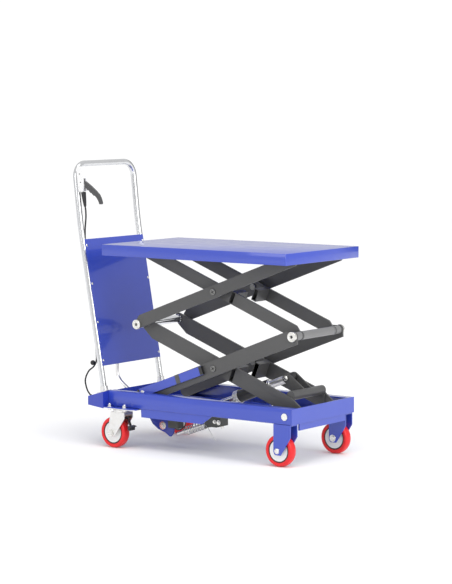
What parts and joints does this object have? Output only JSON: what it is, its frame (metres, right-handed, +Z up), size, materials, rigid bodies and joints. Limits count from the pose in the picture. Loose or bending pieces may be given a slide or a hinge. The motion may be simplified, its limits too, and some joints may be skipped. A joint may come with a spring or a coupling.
{
  "type": "scissor lift table",
  "caption": "Mobile double-scissor hydraulic lift table with a push handle, foot pump pedal, release lever, fixed front wheels and braked swivel casters.",
  "frame": {"origin": "on the floor, at the middle of the overall length and width", "axes": "+X to the front end away from the handle, +Z up, +Y to the left side"},
  "size_m": [1.1197, 0.5, 1.1599],
  "materials": {
    "painted_blue": "semi-gloss powder coat",
    "painted_grey": "satin grey powder coat",
    "zinc_plate": "bright zinc plate",
    "chrome": "hard chrome",
    "handle_chrome": "bright plated tube",
    "black_paint": "gloss black paint",
    "black_plastic": "moulded nylon or sheath, matte",
    "spring_steel": "oiled spring steel",
    "red_tread": "cast polyurethane tread on a light disc"
  },
  "bodies": {
    "base": {"base_side_rail_right": "painted_blue", "base_side_rail_left": "painted_blue", "base_front_plate": "painted_blue", "front_fork_right": "painted_blue", "front_fork_left": "painted_blue", "base_rear_crossmember": "painted_blue", "caster_plate_right": "zinc_plate", "caster_plate_left": "zinc_plate", "base_front_pivot_shaft": "zinc_plate", "handle_tube": "handle_chrome", "handle_bracket_right": "zinc_plate", "handle_bracket_left": "zinc_plate", "handle_panel": "painted_blue", "lever_housing": "zinc_plate", "release_cable": "black_plastic", "pump_mount": "painted_blue", "pump_body": "painted_grey", "pump_reservoir": "black_paint", "pump_spring": "spring_steel"},
    "lower_inner": {"lower_inner_arm_right": "painted_grey", "lower_inner_arm_left": "painted_grey", "lower_inner_lift_yoke": "painted_grey", "rear_joint_shaft": "chrome", "lower_centre_pin_right": "zinc_plate", "lower_centre_pin_left": "zinc_plate"},
    "lower_outer": {"lower_outer_arm_right": "painted_grey", "lower_outer_arm_left": "painted_grey", "front_joint_shaft": "painted_grey"},
    "prop": {"prop_bar": "painted_blue"},
    "upper_inner": {"upper_inner_arm_right": "painted_grey", "upper_inner_arm_left": "painted_grey"},
    "upper_outer": {"upper_outer_arm_right": "painted_grey", "upper_outer_arm_left": "painted_grey", "upper_centre_pin_right": "zinc_plate", "upper_centre_pin_left": "zinc_plate"},
    "table": {"table_deck": "painted_blue", "table_rail_right": "painted_blue", "table_rail_left": "painted_blue", "table_hinge_pin_right": "zinc_plate", "table_hinge_pin_left": "zinc_plate"},
    "base_roller_right": {"base_roller_right": "black_plastic"},
    "base_roller_left": {"base_roller_left": "black_plastic"},
    "table_roller_right": {"table_roller_right": "black_plastic"},
    "table_roller_left": {"table_roller_left": "black_plastic"},
    "front_wheel_right": {"front_wheel_right": "red_tread"},
    "front_wheel_left": {"front_wheel_left": "red_tread"},
    "caster_right": {"caster_fork_right": "zinc_plate"},
    "caster_left": {"caster_fork_left": "zinc_plate"},
    "caster_wheel_right": {"caster_wheel_right": "red_tread"},
    "caster_wheel_left": {"caster_wheel_left": "red_tread"},
    "brake_right": {"brake_pedal_right": "black_paint"},
    "brake_left": {"brake_pedal_left": "black_paint"},
    "release_lever": {"release_lever": "black_paint"},
    "pump_pedal": {"pump_pedal_lever": "zinc_plate"},
    "pump_plunger": {"pump_plunger": "zinc_plate"},
    "cylinder_barrel": {"cylinder_barrel": "black_paint"},
    "cylinder_rod": {"cylinder_rod": "chrome"}
  },
  "joints": [
    {"name": "lift", "type": "hinge", "parent": "base", "child": "lower_inner", "pos_m": [0.526, 0, 0.1993], "axis": [0, 1, 0], "range_deg": [-17.08, 19]},
    {"name": "lower_cross", "type": "hinge", "parent": "lower_inner", "child": "lower_outer", "pos_m": [0.14149, 0, 0.35141], "axis": [0, 1, 0], "range_deg": [-38.05, 34.21]},
    {"name": "rear_joint", "type": "hinge", "parent": "lower_inner", "child": "upper_outer", "pos_m": [-0.24302, 0, 0.50351], "axis": [0, 1, 0], "range_deg": [-38.05, 34.21]},
    {"name": "front_joint", "type": "hinge", "parent": "lower_outer", "child": "upper_inner", "pos_m": [0.526, 0, 0.50351], "axis": [0, 1, 0], "range_deg": [-34.21, 38.05]},
    {"name": "table_hinge", "type": "hinge", "parent": "upper_outer", "child": "table", "pos_m": [0.526, 0, 0.80772], "axis": [0, 1, 0], "range_deg": [-17.13, 19.05]},
    {"name": "barrel_pin", "type": "hinge", "parent": "lower_inner", "child": "cylinder_barrel", "pos_m": [0.402, 0, 0.32], "axis": [0, 1, 0], "range_deg": [-22.29, 20.05]},
    {"name": "cylinder_stroke", "type": "slide", "parent": "cylinder_barrel", "child": "cylinder_rod", "axis": [-0.932, 0, -0.3624], "range_m": [-0.04599, 0.05113]},
    {"name": "prop_hinge", "type": "hinge", "parent": "lower_outer", "child": "prop", "pos_m": [-0.21, -0.168, 0.23], "axis": [0, 1, 0], "range_deg": [0, 10]},
    {"name": "base_roller_spin_right", "type": "hinge", "parent": "lower_outer", "child": "base_roller_right", "pos_m": [-0.24302, -0.192, 0.1993], "axis": [0, 1, 0], "continuous": true},
    {"name": "table_roller_spin_right", "type": "hinge", "parent": "upper_inner", "child": "table_roller_right", "pos_m": [-0.24302, -0.128, 0.80772], "axis": [0, 1, 0], "continuous": true},
    {"name": "front_wheel_spin_right", "type": "hinge", "parent": "base", "child": "front_wheel_right", "pos_m": [0.49, -0.19, 0.0635], "axis": [0, 1, 0], "continuous": true},
    {"name": "caster_swivel_right", "type": "hinge", "parent": "base", "child": "caster_right", "pos_m": [-0.286, -0.213, 0.15], "axis": [0, 0, 1], "continuous": true},
    {"name": "caster_wheel_spin_right", "type": "hinge", "parent": "caster_right", "child": "caster_wheel_right", "pos_m": [-0.32, -0.213, 0.0635], "axis": [0, 1, 0], "continuous": true},
    {"name": "brake_pedal_hinge_right", "type": "hinge", "parent": "caster_right", "child": "brake_right", "pos_m": [-0.2585, -0.213, 0.1275], "axis": [0, 1, 0], "range_deg": [0, 12]},
    {"name": "base_roller_spin_left", "type": "hinge", "parent": "lower_outer", "child": "base_roller_left", "pos_m": [-0.24302, 0.192, 0.1993], "axis": [0, 1, 0], "continuous": true},
    {"name": "table_roller_spin_left", "type": "hinge", "parent": "upper_inner", "child": "table_roller_left", "pos_m": [-0.24302, 0.128, 0.80772], "axis": [0, 1, 0], "continuous": true},
    {"name": "front_wheel_spin_left", "type": "hinge", "parent": "base", "child": "front_wheel_left", "pos_m": [0.49, 0.19, 0.0635], "axis": [0, 1, 0], "continuous": true},
    {"name": "caster_swivel_left", "type": "hinge", "parent": "base", "child": "caster_left", "pos_m": [-0.286, 0.213, 0.15], "axis": [0, 0, 1], "continuous": true},
    {"name": "caster_wheel_spin_left", "type": "hinge", "parent": "caster_left", "child": "caster_wheel_left", "pos_m": [-0.32, 0.213, 0.0635], "axis": [0, 1, 0], "continuous": true},
    {"name": "brake_pedal_hinge_left", "type": "hinge", "parent": "caster_left", "child": "brake_left", "pos_m": [-0.2585, 0.213, 0.1275], "axis": [0, 1, 0], "range_deg": [0, 12]},
    {"name": "release_lever_hinge", "type": "hinge", "parent": "base", "child": "release_lever", "pos_m": [-0.51, -0.1825, 1.073], "axis": [0, 1, 0], "range_deg": [0, 14], "stiffness_Nm_per_rad": 3, "springref_deg": -17.19},
    {"name": "pump_pedal_hinge", "type": "hinge", "parent": "base", "child": "pump_pedal", "pos_m": [-0.388, 0, 0.185], "axis": [0, 1, 0], "range_deg": [-16, 0], "stiffness_Nm_per_rad": 30, "springref_deg": 20.05},
    {"name": "pump_stroke", "type": "slide", "parent": "base", "child": "pump_plunger", "axis": [0.9386, 0, 0.345], "range_m": [0, 0.0182]}
  ],
  "couplings": [
    {"joint": "lower_cross", "follows": "lift", "ratio": -2},
    {"joint": "rear_joint", "follows": "lift", "ratio": -2},
    {"joint": "front_joint", "follows": "lift", "ratio": 2},
    {"joint": "table_hinge", "follows": "lift", "ratio": 1},
    {"joint": "barrel_pin", "follows": "lift", "ratio": -1.1707},
    {"joint": "cylinder_stroke", "follows": "lift", "m_per_rad": 0.15327},
    {"joint": "pump_stroke", "follows": "pump_pedal_hinge", "m_per_rad": -0.065}
  ]
}
